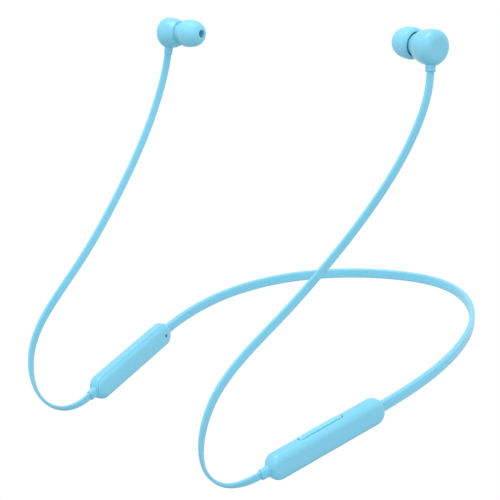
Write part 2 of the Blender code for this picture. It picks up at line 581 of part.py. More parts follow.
def bud(side, centre, direction, stem):
    centre, stem, d = np.array(centre), np.array(stem), unit(direction)
    rise = unit(centre - stem)
    R, B, W = BUD_RADIUS, BUD_BACK, BUD_WALL

    back = arc(R - BUD_CORNER, -B + BUD_CORNER, BUD_CORNER, BUD_CORNER, 0, -90, 5)
    profile = [(taper(BUD_SPLIT) - W, BUD_SPLIT), (taper(BUD_SPLIT), BUD_SPLIT), (taper(1.4), 1.4)] + back \
        + [(0, -B), (0, -B + W)] + [(R - BUD_CORNER, -B + W)] \
        + arc(R - BUD_CORNER, -B + BUD_CORNER, BUD_CORNER - W, BUD_CORNER - W, -60, 0, 2)
    # the loop is closed on the axis, so it is open there: start at the axis instead
    loop = profile[:-3]
    inner = profile[-3:]
    start = [(0, -B + W), (R - BUD_CORNER, -B + W)] + inner + loop[:3] + back + [(0, -B)]
    rear = turned(side + "_rear_housing", d, centre, start, SHELL, steps=32)
    hole = turned_cutter(side + "_stem_hole", rise, centre, STEM_WIDTH / 2 + GAP, STEM_DEPTH / 2 + GAP, d, 8.0)
    boolean(rear, hole)

    s0 = BUD_SPLIT + GAP
    outer = [(taper(s0), s0), (taper(4.6), 4.6), (taper(5.5), 5.5), (BUD_FRONT_RADIUS - 0.35, BUD_FRONT),
             (BOSS_RADIUS, BUD_FRONT + 0.1), (BOSS_RADIUS, TIP_RIM - 0.55), (BOSS_RADIUS - 0.2, TIP_RIM - 0.4)]
    nozzle = [(NOZZLE_RADIUS, TIP_RIM - 0.4), (NOZZLE_RADIUS, NOZZLE_END - 1.2), (NOZZLE_LIP, NOZZLE_END - 1.0),
              (NOZZLE_LIP, NOZZLE_END - 0.3), (NOZZLE_LIP - 0.3, NOZZLE_END)]
    loop = list(reversed(nozzle)) + list(reversed(outer)) + [(taper(s0) - W, s0), (taper(s0) - W - 0.3, 4.2), (NOZZLE_BORE + 0.6, 5.2),
                                                            (NOZZLE_BORE, 5.8), (NOZZLE_BORE, NOZZLE_END)]
    turned(side + "_front_housing", d, centre, loop, SHELL, steps=32, closed=True)

    # speaker: wide frame behind the front housing, magnet cup at its back
    turned(side + "_driver", d, centre, [(0, 3.8), (4.3, 3.8), (4.8, 3.3), (4.8, 1.6), (3.2, 1.4), (3.2, -0.4), (0, -0.4)],
           BLACK, steps=20)
    turned(side + "_bud_magnet", d, centre, [(0, -1.7), (3.4, -1.7), (3.6, -1.9), (3.6, -3.1), (3.4, -3.3), (0, -3.3)],
           MAGNET, steps=20)
    turned(side + "_nozzle_mesh", d, centre, [(0, NOZZLE_END - 0.6), (NOZZLE_BORE - GAP, NOZZLE_END - 0.6),
                                              (NOZZLE_BORE - GAP, NOZZLE_END - 0.9), (0, NOZZLE_END - 0.9)], STEEL, steps=16)

    # silicone tip: dome, skirt and core sleeve in one
    w = TIP_WALL
    core = NOZZLE_LIP + GAP

    def vault(radius, height, a0, a1, n):
        out = []
        for k in range(n + 1):
            f = math.radians(a0 + (a1 - a0) * k / n)
            out.append((radius * math.cos(f) ** (2 / TIP_SHAPE), TIP_WIDEST + height * math.sin(f) ** (2 / TIP_SHAPE)))
        return out

    dome = vault(TIP_RADIUS, TIP_END - TIP_WIDEST, 72, 0, 9)
    skirt = [(TIP_RADIUS - 0.25, TIP_WIDEST - 1.1), (TIP_RIM_RADIUS, TIP_RIM)]
    inside = [(TIP_RIM_RADIUS - 0.5, TIP_RIM + 0.1), (TIP_RADIUS - w - 0.2, TIP_WIDEST - 0.6)] \
        + vault(TIP_RADIUS - w, TIP_END - TIP_WIDEST - w * 1.4, 8, 48, 4)
    sleeve = [(core + 0.7, TIP_END - 3.2), (core + 0.7, TIP_RIM + 0.5), (core, TIP_RIM + 0.5), (core, NOZZLE_END + 0.5),
              (1.9, NOZZLE_END + 1.0), (1.9, TIP_END - 0.7)]
    turned(side + "_ear_tip", d, centre, dome + skirt + inside + sleeve, SILICONE, steps=32, closed=True)

    # strain relief that joins the cable to the housing
    side_dir = unit(np.cross(rise, d))
    flat = unit(d - rise * np.dot(d, rise))
    top = np.dot(centre - stem, rise) - (BUD_RADIUS - BUD_WALL) + 0.6
    pill(side + "_stem", flat, side_dir, stem + rise * (top / 2), STEM_WIDTH, STEM_DEPTH, top, 1.3, 0.2, SILICONE, n=3, res=0)


def turned_cutter(name, axis, centre, rx, ry, x, length):
    """rounded rectangular cutter below centre, along -axis"""
    axis = unit(axis)
    side_dir = unit(np.cross(axis, x))
    return pill(name, unit(x - axis * np.dot(x, axis)), side_dir, np.array(centre) - unit(axis) * (length / 2 + 2.0), 2 * rx, 2 * ry, length, 1.3 + GAP, 0.0,
                cutter=True, n=3, res=0)


bud("left", BUD_LEFT, BUD_DIR_LEFT, STEM_LEFT)
bud("right", BUD_RIGHT, BUD_DIR_RIGHT, STEM_RIGHT)


# ------------------------------------------------------------------ origins of the moving pieces on their axes
def set_origin(name, point):
    obj = bpy.data.objects[name]
    old = obj.matrix_world.copy()
    new = Matrix.Translation(Vector(point) * MM)
    local = new.inverted() @ old
    if obj.type == "MESH" and not any(m.type == "SCREW" for m in obj.modifiers):
        obj.data.transform(local)
        obj.matrix_world = new


set_origin("volume_rocker", at_left(ROCKER_AT, ROCKER_Y, ROCKER_PIVOT))
set_origin("left_arm_band", band_at(flex_left))
set_origin("right_arm_band", band_at(flex_right))
set_origin("left_stem", STEM_LEFT)
set_origin("right_stem", STEM_RIGHT)

# coincident corners left by the cuts become one
for name in ("multifunction_button", "power_button", "usb_c_receptacle"):
    m = bpy.data.objects[name].modifiers.new("weld", "WELD")
    m.merge_threshold = 0.000002

for o in list(cutters.objects):
    o.hide_render = True
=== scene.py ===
import math

import bmesh
import bpy
import numpy as np
from mathutils import Matrix, Vector


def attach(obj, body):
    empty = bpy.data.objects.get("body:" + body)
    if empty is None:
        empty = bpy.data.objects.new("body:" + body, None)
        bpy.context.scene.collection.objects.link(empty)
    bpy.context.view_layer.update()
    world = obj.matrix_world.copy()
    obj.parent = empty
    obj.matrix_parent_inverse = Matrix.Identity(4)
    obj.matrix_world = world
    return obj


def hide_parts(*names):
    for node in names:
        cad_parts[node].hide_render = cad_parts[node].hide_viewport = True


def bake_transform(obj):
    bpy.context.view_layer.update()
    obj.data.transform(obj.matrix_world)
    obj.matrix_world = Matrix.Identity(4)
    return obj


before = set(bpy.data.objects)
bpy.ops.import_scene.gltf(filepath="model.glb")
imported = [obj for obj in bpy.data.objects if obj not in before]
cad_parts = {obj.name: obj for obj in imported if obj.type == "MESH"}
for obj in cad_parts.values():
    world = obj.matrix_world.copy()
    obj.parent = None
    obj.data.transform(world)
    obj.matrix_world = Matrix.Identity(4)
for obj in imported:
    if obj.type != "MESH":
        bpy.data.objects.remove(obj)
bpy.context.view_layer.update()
MM = 0.001


def unit(v):
    v = np.array(v, float)
    return v / np.linalg.norm(v)


# ------------------------------------------------------------------ sizes shared with the frame (mm)
MODULE_LENGTH, MODULE_HEIGHT, MODULE_THICK = 57.0, 11.1, 7.6
MODULE_CORNER, MODULE_EDGE, WALL, SEAM_Y = 5.0, 3.0, 1.1, -2.2
GLAND_LENGTH = 3.3
BAND_WIDTH, BAND_THICK = 4.6, 2.3
CABLE_WIDTH, CABLE_THICK = 3.5, 1.2
MIRROR = np.array([-1.0, 1.0, 1.0])
a_left = unit((-0.1987, -0.9493, -0.2436))
a_right = unit((0.2220, -0.9467, -0.2313))
MODULE_ROLL = {"left": 0.0, "right": math.radians(-6.0)}
REAR = {"left": np.array((65.5, -120.5, -14.55)), "right": np.array((-67.5, -117.4, -14.0))}
DIR = {"left": a_left, "right": a_right}
BAND_NAPE_REACH, BAND_ARM_REACH = 27.0, 75.0
FLEX_ARC = 62.0
CABLE_TURN = {"left": np.array((55.3, -190.0, 20.5)), "right": np.array((-55.0, -192.0, 18.0))}
CABLE_RISE = {"left": unit((0.0, 0.88, 0.47)), "right": unit((0.0, 0.74, 0.67))}
BEND_REACH, RISE_REACH = 33.0, 35.0
TWIST_START, TWIST_END, TWIST = 90.0, -98.0, {"left": 28.0, "right": 33.0}
BUD = {"left": np.array((73.5, -107.1, 127.6)), "right": np.array((-72.8, -106.6, 125.0))}
STEM = {"left": np.array((74.7, -108.7, 118.7)), "right": np.array((-73.5, -108.0, 115.4))}
EAR = {"left": unit((-0.980, 0.187, 0.069)), "right": unit((0.996, 0.088, 0.024))}
SIDES = ("left", "right")



def cubic(p0, p1, p2, p3, count):
    return [(1 - t)**3 * p0 + 3 * t * (1 - t)**2 * p1 + 3 * t * t * (1 - t) * p2 + t**3 * p3
            for t in np.linspace(0.0, 1.0, count + 2)[1:-1]]


def band_side(side):
    a, rear = DIR[side], REAR[side]
    out = np.array((math.copysign(BAND_NAPE_REACH, rear[0]), 0.0, 0.0))
    return cubic(np.zeros(3), out, rear - a * BAND_ARM_REACH, rear, 4)


def cable_points(side):
    a, turn, w = DIR[side], CABLE_TURN[side], CABLE_RISE[side]
    first, rise = REAR[side] + a * (57.0 + GLAND_LENGTH), unit(BUD[side] - STEM[side])
    return (cubic(first, first + a * BEND_REACH, turn - w * BEND_REACH, turn, 4) + [turn]
            + cubic(turn, turn + w * RISE_REACH, STEM[side] - rise * RISE_REACH, STEM[side], 4))


# ------------------------------------------------------------------ camera
cam = bpy.data.objects.new("camera", bpy.data.cameras.new("camera"))
bpy.context.scene.collection.objects.link(cam)
cam.data.sensor_width = 36.0
cam.data.lens = 86.91
cam.data.clip_start = 0.01
cam.data.clip_end = 100.0
cam.location = (0.34505, -0.47970, 0.16845)
cam.rotation_euler = (math.radians(75.35), 0.0, math.radians(44.54))
bpy.context.scene.camera = cam


# ------------------------------------------------------------------ materials
def blue(name, color, rough, grain=5200.0, bump=0.06, spread=0.035, soft=0.0, sheen=0.0, coat=0.0, mould=True):
    """moulded plastic or silicone: fine spark-eroded grain, faint flow clouds in the pigment, uneven gloss"""
    m = bpy.data.materials.new(name)
    m.use_nodes = True
    t = m.node_tree
    b = t.nodes["Principled BSDF"]
    co = t.nodes.new("ShaderNodeTexCoord")

    clouds = t.nodes.new("ShaderNodeTexNoise")
    clouds.inputs["Scale"].default_value = 95.0
    clouds.inputs["Detail"].default_value = 3.0
    clouds.inputs["Roughness"].default_value = 0.55
    t.links.new(co.outputs["Object"], clouds.inputs["Vector"])
    ramp = t.nodes.new("ShaderNodeValToRGB")
    lo = [c * (1.0 - spread) for c in color]
    hi = [min(1.0, c * (1.0 + spread)) for c in color]
    ramp.color_ramp.elements[0].position = 0.32
    ramp.color_ramp.elements[0].color = (*lo, 1.0)
    ramp.color_ramp.elements[1].position = 0.68
    ramp.color_ramp.elements[1].color = (*hi, 1.0)
    t.links.new(clouds.outputs["Fac"], ramp.inputs["Fac"])

    specks = t.nodes.new("ShaderNodeTexNoise")
    specks.inputs["Scale"].default_value = 2600.0
    specks.inputs["Detail"].default_value = 1.0
    t.links.new(co.outputs["Object"], specks.inputs["Vector"])
    mix = t.nodes.new("ShaderNodeMix")
    mix.data_type = "RGBA"
    mix.blend_type = "MULTIPLY"
    mix.inputs["Factor"].default_value = 0.05
    t.links.new(ramp.outputs["Color"], mix.inputs["A"])
    t.links.new(specks.outputs["Fac"], mix.inputs["B"])
    t.links.new(mix.outputs["Result"], b.inputs["Base Color"])

    gloss = t.nodes.new("ShaderNodeMapRange")
    gloss.inputs["To Min"].default_value = rough - 0.05
    gloss.inputs["To Max"].default_value = rough + 0.05
    t.links.new(clouds.outputs["Fac"], gloss.inputs["Value"])
    t.links.new(gloss.outputs["Result"], b.inputs["Roughness"])

    fine = t.nodes.new("ShaderNodeTexNoise")
    fine.inputs["Scale"].default_value = grain
    fine.inputs["Detail"].default_value = 4.0
    fine.inputs["Roughness"].default_value = 0.6
    t.links.new(co.outputs["Object"], fine.inputs["Vector"])
    bp = t.nodes.new("ShaderNodeBump")
    bp.inputs["Strength"].default_value = bump
    bp.inputs["Distance"].default_value = 0.00006
    t.links.new(fine.outputs["Fac"], bp.inputs["Height"])
    t.links.new(bp.outputs["Normal"], b.inputs["Normal"])
    b.inputs["Specular IOR Level"].default_value = 0.45
    if soft:
        b.inputs["Subsurface Weight"].default_value = soft
        b.inputs["Subsurface Radius"].default_value = (0.0006, 0.0010, 0.0014)
        b.inputs["Subsurface Scale"].default_value = 1.0
    if sheen:
        b.inputs["Sheen Weight"].default_value = sheen
        b.inputs["Sheen Roughness"].default_value = 0.5
    if coat:
        b.inputs["Coat Weight"].default_value = coat
        b.inputs["Coat Roughness"].default_value = 0.25
    return m


def metal(name, color, rough, stretch=(1.0, 1.0, 1.0), scale=900.0, bump=0.10, metallic=1.0):
    """brushed or plated metal: streaked roughness and a fine drawn texture"""
    m = bpy.data.materials.new(name)
    m.use_nodes = True
    t = m.node_tree
    b = t.nodes["Principled BSDF"]
    b.inputs["Metallic"].default_value = metallic
    co = t.nodes.new("ShaderNodeTexCoord")
    mp = t.nodes.new("ShaderNodeMapping")
    mp.inputs["Scale"].default_value = stretch
    t.links.new(co.outputs["Object"], mp.inputs["Vector"])
    n = t.nodes.new("ShaderNodeTexNoise")
    n.inputs["Scale"].default_value = scale
    n.inputs["Detail"].default_value = 5.0
    t.links.new(mp.outputs["Vector"], n.inputs["Vector"])
    ramp = t.nodes.new("ShaderNodeValToRGB")
    ramp.color_ramp.elements[0].color = (*[c * 0.86 for c in color], 1.0)
    ramp.color_ramp.elements[1].color = (*[min(1.0, c * 1.08) for c in color], 1.0)
    t.links.new(n.outputs["Fac"], ramp.inputs["Fac"])
    t.links.new(ramp.outputs["Color"], b.inputs["Base Color"])
    r = t.nodes.new("ShaderNodeMapRange")
    r.inputs["To Min"].default_value = rough - 0.06
    r.inputs["To Max"].default_value = rough + 0.10
    t.links.new(n.outputs["Fac"], r.inputs["Value"])
    t.links.new(r.outputs["Result"], b.inputs["Roughness"])
    bp = t.nodes.new("ShaderNodeBump")
    bp.inputs["Strength"].default_value = bump
    bp.inputs["Distance"].default_value = 0.00004
    t.links.new(n.outputs["Fac"], bp.inputs["Height"])
    t.links.new(bp.outputs["Normal"], b.inputs["Normal"])
    return m


def gauze(name):
    """woven steel gauze: crossed wires 0.16 mm apart; the openings between them are painted near-black, painted shade
    standing for the depth behind the gauze
    """
    m = bpy.data.materials.new(name)
    m.use_nodes = True
    t = m.node_tree
    b = t.nodes["Principled BSDF"]
    b.inputs["Metallic"].default_value = 0.9
    b.inputs["Roughness"].default_value = 0.38
    co = t.nodes.new("ShaderNodeTexCoord")
    heights = []
    for axis in ("Y", "Z"):
        w = t.nodes.new("ShaderNodeTexWave")
        w.wave_type = "BANDS"
        w.bands_direction = axis
        w.inputs["Scale"].default_value = 950.0
        t.links.new(co.outputs["Object"], w.inputs["Vector"])
        heights.append(w.outputs["Fac"])
    mx = t.nodes.new("ShaderNodeMath")
    mx.operation = "MAXIMUM"
    t.links.new(heights[0], mx.inputs[0])
    t.links.new(heights[1], mx.inputs[1])
    # low end of the ramp: painted shade in the openings between the wires; high end: the wires' own grey-blue steel
    ramp = t.nodes.new("ShaderNodeValToRGB")
    ramp.color_ramp.elements[0].position = 0.45
    ramp.color_ramp.elements[0].color = (0.02, 0.04, 0.05, 1.0)
    ramp.color_ramp.elements[1].position = 0.75
    ramp.color_ramp.elements[1].color = (0.42, 0.50, 0.54, 1.0)
    t.links.new(mx.outputs["Value"], ramp.inputs["Fac"])
    t.links.new(ramp.outputs["Color"], b.inputs["Base Color"])
    bp = t.nodes.new("ShaderNodeBump")
    bp.inputs["Strength"].default_value = 0.5
    bp.inputs["Distance"].default_value = 0.00005
    t.links.new(mx.outputs["Value"], bp.inputs["Height"])
    t.links.new(bp.outputs["Normal"], b.inputs["Normal"])
    return m


SKY = (0.172, 0.555, 0.748)
M_SHELL = blue("shell_satin_plastic", SKY, 0.36, grain=5200, bump=0.02, spread=0.02, coat=0.30)
M_BUD = blue("bud_satin_plastic", SKY, 0.33, grain=5200, bump=0.015, spread=0.02, coat=0.35)
M_BUTTON = blue("button_plastic", tuple(min(1.0, c * 1.10) for c in SKY), 0.34, grain=6000, bump=0.02, spread=0.02, coat=0.20)
M_BAND = blue("band_silicone", tuple(c * 1.02 for c in SKY), 0.44, grain=3800, bump=0.03, spread=0.02, soft=0.05, sheen=0.04, coat=0.20)
M_CABLE = blue("cable_silicone", tuple(c * 1.02 for c in SKY), 0.42, grain=4200, bump=0.03, spread=0.02, soft=0.05, sheen=0.04, coat=0.12)
M_RELIEF = blue("relief_silicone", SKY, 0.46, grain=4200, bump=0.03, spread=0.02, soft=0.05)
M_TIP = blue("tip_silicone", (0.198, 0.600, 0.800), 0.42, grain=3600, bump=0.02, spread=0.02, soft=0.10, sheen=0.06)
M_STEEL = metal("drawn_steel", (0.60, 0.60, 0.61), 0.30, stretch=(1.0, 0.15, 1.0))
M_NICKEL = metal("plated_magnet", (0.68, 0.67, 0.65), 0.20, scale=400.0, bump=0.04)
M_FOIL = metal("cell_foil", (0.58, 0.60, 0.63), 0.34, scale=260.0, bump=0.25, metallic=0.7)
M_GAUZE = gauze("steel_gauze")
M_BOARD = blue("solder_mask", (0.015, 0.13, 0.075), 0.36, grain=1800, bump=0.20, spread=0.22, coat=0.35)
M_BLACK = blue("black_nylon", (0.022, 0.022, 0.024), 0.50, grain=3000, bump=0.15, spread=0.25)
M_NYLON = blue("grey_nylon", (0.46, 0.49, 0.51), 0.48, grain=3000, bump=0.15, spread=0.08)
M_LENS = blue("smoked_light_guide", (0.10, 0.17, 0.19), 0.16, grain=2000, bump=0.02, spread=0.03, coat=0.4)
M_LENS.node_tree.nodes["Principled BSDF"].inputs["Transmission Weight"].default_value = 0.35


# ------------------------------------------------------------------ mesh helpers
def new_object(name, verts, faces, material, sharp=40.0, weld=0.004):
    """mesh object in metres from millimetre points, welded, with outward faces"""
    me = bpy.data.meshes.new(name)
    me.from_pydata([tuple(float(x) * MM for x in v) for v in verts], [], faces)
    bm = bmesh.new()
    bm.from_mesh(me)
    bmesh.ops.remove_doubles(bm, verts=bm.verts, dist=weld * MM)
    bmesh.ops.dissolve_degenerate(bm, edges=bm.edges, dist=0.0005 * MM)
    bmesh.ops.recalc_face_normals(bm, faces=bm.faces)
    bm.to_mesh(me)
    bm.free()
    ob = bpy.data.objects.new(name, me)
    bpy.context.scene.collection.objects.link(ob)
    if material:
        me.materials.append(material)
    me.shade_smooth()
    me.set_sharp_from_angle(angle=math.radians(sharp))
    return ob


def loft(name, rings, material=None, caps=True, closed=False, **kw):
    """skin through rings of points; every ring has the same number of points"""
    n = len(rings[0])
    verts = [p for r in rings for p in r]
    faces = []
    count = len(rings)
    for i in range(count if closed else count - 1):
        j = (i + 1) % count
        for k in range(n):
            q = (k + 1) % n
            faces.append((i * n + k, i * n + q, j * n + q, j * n + k))
    if caps and not closed:
        faces.append(tuple(reversed(range(n))))
        faces.append(tuple((count - 1) * n + k for k in range(n)))
    return new_object(name, verts, faces, material, **kw)


def outline(lx, ly, r, n):
    """rounded rectangle with 4 (n + 1) points"""
    out = []
    r = max(min(r, lx / 2, ly / 2), 0.001)
    for cx, cy, a0 in ((lx / 2 - r, ly / 2 - r, 0), (-lx / 2 + r, ly / 2 - r, 90),
                       (-lx / 2 + r, -ly / 2 + r, 180), (lx / 2 - r, -ly / 2 + r, 270)):
        for k in range(n + 1):
            a = math.radians(a0 + 90.0 * k / n)
            out.append((cx + r * math.cos(a), cy + r * math.sin(a)))
    return out


def axes(x, y):
    x = unit(x)
    z = unit(np.cross(x, unit(y)))
    return x, np.cross(z, x), z


def prism(name, x, y, centre, lx, ly, r, depth, n=10):
    x, y, z = axes(x, y)
    c = np.array(centre, float)
    return loft(name, [[c + x * u + y * v + z * h for u, v in outline(lx, ly, r, n)] for h in (-depth / 2, depth / 2)])


def pill(name, x, y, centre, lx, ly, thick, corner, edge, material=None, n=12, m=8, crown=0.0, **kw):
    """rounded block; edge is the rounding between the wide faces and the sides, crown bulges the wide faces"""
    x, y, z = axes(x, y)
    c = np.array(centre, float)
    steps = []
    for i in range(m + 1):
        f = math.pi / 2 * i / m
        steps.append((edge * (1 - math.sin(f)), thick / 2 - crown - edge + edge * math.cos(f)))
    steps = [(edge * (1 - math.cos(math.pi / 2 * i / m)), thick / 2 - crown - edge * (1 - math.sin(math.pi / 2 * i / m)))
             for i in range(m + 1)]
    if crown:
        room = ly / 2 - edge
        for i in range(1, 6):
            u = i / 5
            steps.append((edge + room * 0.93 * u, thick / 2 - crown * (1 - u) ** 2))
    up = [(o, h) for o, h in steps]
    rings = []
    for o, h in [(o, -h) for o, h in reversed(up)] + up:
        rings.append([c + x * u + y * v + z * h for u, v in outline(lx - 2 * o, ly - 2 * o, corner - o, n)])
    return loft(name, rings, material, **kw)


def lathe(name, profile, axis, centre, material=None, steps=72, closed=False, up=(0, 0, 1), **kw):
    """profile: (radius, distance along axis) in mm"""
    d = unit(axis)
    x = unit(np.array(up, float) - d * np.dot(up, d))
    y = np.cross(d, x)
    c = np.array(centre, float)
    rings = [[c + d * t + (x * math.cos(2 * math.pi * k / steps) + y * math.sin(2 * math.pi * k / steps)) * r
              for k in range(steps)] for r, t in profile]
    return loft(name, rings, material, caps=False, closed=closed, **kw)


def arc(cx, cy, rx, ry, a0, a1, n):
    return [(cx + rx * math.cos(math.radians(a0 + (a1 - a0) * k / n)),
             cy + ry * math.sin(math.radians(a0 + (a1 - a0) * k / n))) for k in range(n + 1)]


def cut(ob, tools, operation="DIFFERENCE"):
    """exact booleans, applied, then the tools are removed"""
    for tool in tools:
        m = ob.modifiers.new("cut", "BOOLEAN")
        m.operation = operation
        m.object = tool
        m.solver = "EXACT"
    settle(ob)
    for tool in tools:
        me = tool.data
        bpy.data.objects.remove(tool)
        bpy.data.meshes.remove(me)
    return ob


def settle(ob):
    """applies the modifiers of ob"""
    dg = bpy.context.evaluated_depsgraph_get()
    me = bpy.data.meshes.new_from_object(ob.evaluated_get(dg), depsgraph=dg)
    old = ob.data
    ob.modifiers.clear()
    ob.data = me
    bpy.data.meshes.remove(old)
    me.name = ob.name


def soften(ob, width=0.12, angle=38.0, segments=2):
    """breaks sharp edges as a mould does, then shades by face area"""
    b = ob.modifiers.new("edge_break", "BEVEL")
    b.width = width * MM
    b.segments = segments
    b.limit_method = "ANGLE"
    b.angle_limit = math.radians(angle)
    b.use_clamp_overlap = True
    settle(ob)
    ob.data.shade_smooth()
    ob.data.set_sharp_from_angle(angle=math.radians(50))
    w = ob.modifiers.new("face_weighted", "WEIGHTED_NORMAL")
    w.keep_sharp = True
    w.weight = 80
    settle(ob)
    return ob


def smooth_route(points, start_dir, end_dir):
    """cubic spline through the points, clamped to the end directions: a function of distance, and its length"""
    p = np.array(points, float)
    n = len(p)
    c = np.r_[0.0, np.cumsum(np.linalg.norm(np.diff(p, axis=0), axis=1))]
    h = np.diff(c)
    a = np.zeros((n, n))
    b = np.zeros((n, 3))
    a[0, 0] = a[-1, -1] = 1.0
    b[0], b[-1] = unit(start_dir), unit(end_dir)
    for i in range(1, n - 1):
        a[i, i - 1], a[i, i], a[i, i + 1] = h[i], 2 * (h[i - 1] + h[i]), h[i - 1]
        b[i] = 3 * (h[i] * (p[i] - p[i - 1]) / h[i - 1] + h[i - 1] * (p[i + 1] - p[i]) / h[i])
    d = np.linalg.solve(a, b)

    def at(u):
        i = int(min(max(np.searchsorted(c, u) - 1, 0), n - 2))
        t = (u - c[i]) / h[i]
        return ((2 * t**3 - 3 * t**2 + 1) * p[i] + (t**3 - 2 * t**2 + t) * h[i] * d[i]
                + (-2 * t**3 + 3 * t**2) * p[i + 1] + (t**3 - t**2) * h[i] * d[i + 1])

    fine = np.array([at(u) for u in np.linspace(0, c[-1], 1500)])
    far = np.r_[0.0, np.cumsum(np.linalg.norm(np.diff(fine, axis=0), axis=1))]

    def by_length(s):
        """beyond the ends it runs on straight"""
        q = np.array([np.interp(s, far, fine[:, k]) for k in range(3)])
        if s < 0:
            q = q + unit(start_dir) * s
        if s > far[-1]:
            q = q + unit(end_dir) * (s - far[-1])
        return q

    return by_length, far[-1]


def tangents(pts):
    seg = [unit(b - a) for a, b in zip(pts[:-1], pts[1:])]
    return [seg[0]] + [unit(a + b) for a, b in zip(seg[:-1], seg[1:])] + [seg[-1]]


def strip(name, pts, wide, width, thick, radius, material, n=6, scale=None):
    """flat strip with rounded corners along pts; wide is the direction of its width"""
    section = outline(width, thick, radius, n)
    rings = []
    for i, (p, t, w) in enumerate(zip(pts, tangents(pts), wide)):
        w = unit(w - t * np.dot(w, t))
        v = np.cross(t, w)
        k = 1.0 if scale is None else scale[i]
        rings.append([p + (w * a + v * b) * k for a, b in section])
    return loft(name, rings, material, sharp=50.0, weld=0.0005)


# ------------------------------------------------------------------ ear cables
cables = {}
for side in SIDES:
    a, rear = DIR[side], REAR[side]
    start = rear + a * (MODULE_LENGTH + GLAND_LENGTH + 0.4)
    rise = unit(BUD[side] - STEM[side])
    end = STEM[side] - rise * 0.45
    along, length = smooth_route([start] + cable_points(side) + [end], a, rise)
    ss = np.linspace(-1.4, length + 1.2, 300)
    pts = [along(s) for s in ss]
    knots = np.linspace(0, length, 46)
    at = np.arange(0, 215, 5)
    ang = np.interp(knots, at, TWIST_END + (TWIST_START - TWIST_END) * np.exp(-(at / TWIST[side])**1.6))
    ang = np.convolve(np.r_[ang[:1], ang, ang[-1:]], (0.25, 0.5, 0.25), "valid")
    turn = np.interp(ss, knots, ang)
    k = np.hanning(23)
    turn = np.convolve(np.r_[[turn[0]] * 11, turn, [turn[-1]] * 11], k / k.sum(), "valid")
    wide = []
    for t, g in zip(tangents(pts), np.radians(turn)):
        across = unit(np.array((1.0, 0.0, 0.0)) - t * t[0])
        wide.append(math.cos(g) * across + math.sin(g) * np.cross(t, across))
    ob = strip(side + "_flat_cable", pts, wide, CABLE_WIDTH, CABLE_THICK, 0.48, M_CABLE)
    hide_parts(side + "_ear_cable")
    tuple(along(length - 26) * MM)
    tuple(along(length - 1.5) * MM)
    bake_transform(ob)
    cables[side] = (ob, along, length, wide)

# ------------------------------------------------------------------ neckband, in two halves that meet at the nape
route = [REAR["right"] + a_right * 0.8] + band_side("right")[::-1] + [np.zeros(3)] \
    + band_side("left") + [REAR["left"] + a_left * 0.8]
band_at, band_length = smooth_route(route, -a_right, a_left)
samples = np.linspace(0, band_length, 4000)
apex = samples[int(np.argmin([abs(band_at(s)[0]) for s in samples]))]
UP = np.array((0.0, 0.0, 1.0))
for side, sign, last in (("left", 1, band_length - apex), ("right", -1, apex)):
    ss = np.linspace(0.0, last + 0.6, 230)
    pts = [band_at(apex + sign * s) for s in ss]
    # the section swells a little where it runs into the module
    grow = [1.0 + 0.03 * max(0.0, (s - last + 7.0) / 7.0) ** 2 for s in ss]
    ob = strip(side + "_neckband", pts, [UP] * len(pts), BAND_WIDTH, BAND_THICK, 0.72, M_BAND, n=7, scale=grow)
    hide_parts(side + "_arm_band")
    if side == "left":
        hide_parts("nape_band")
    tuple(band_at(apex + sign * (FLEX_ARC - 16)) * MM)
    tuple(band_at(apex + sign * (FLEX_ARC + 16)) * MM)
    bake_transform(ob)


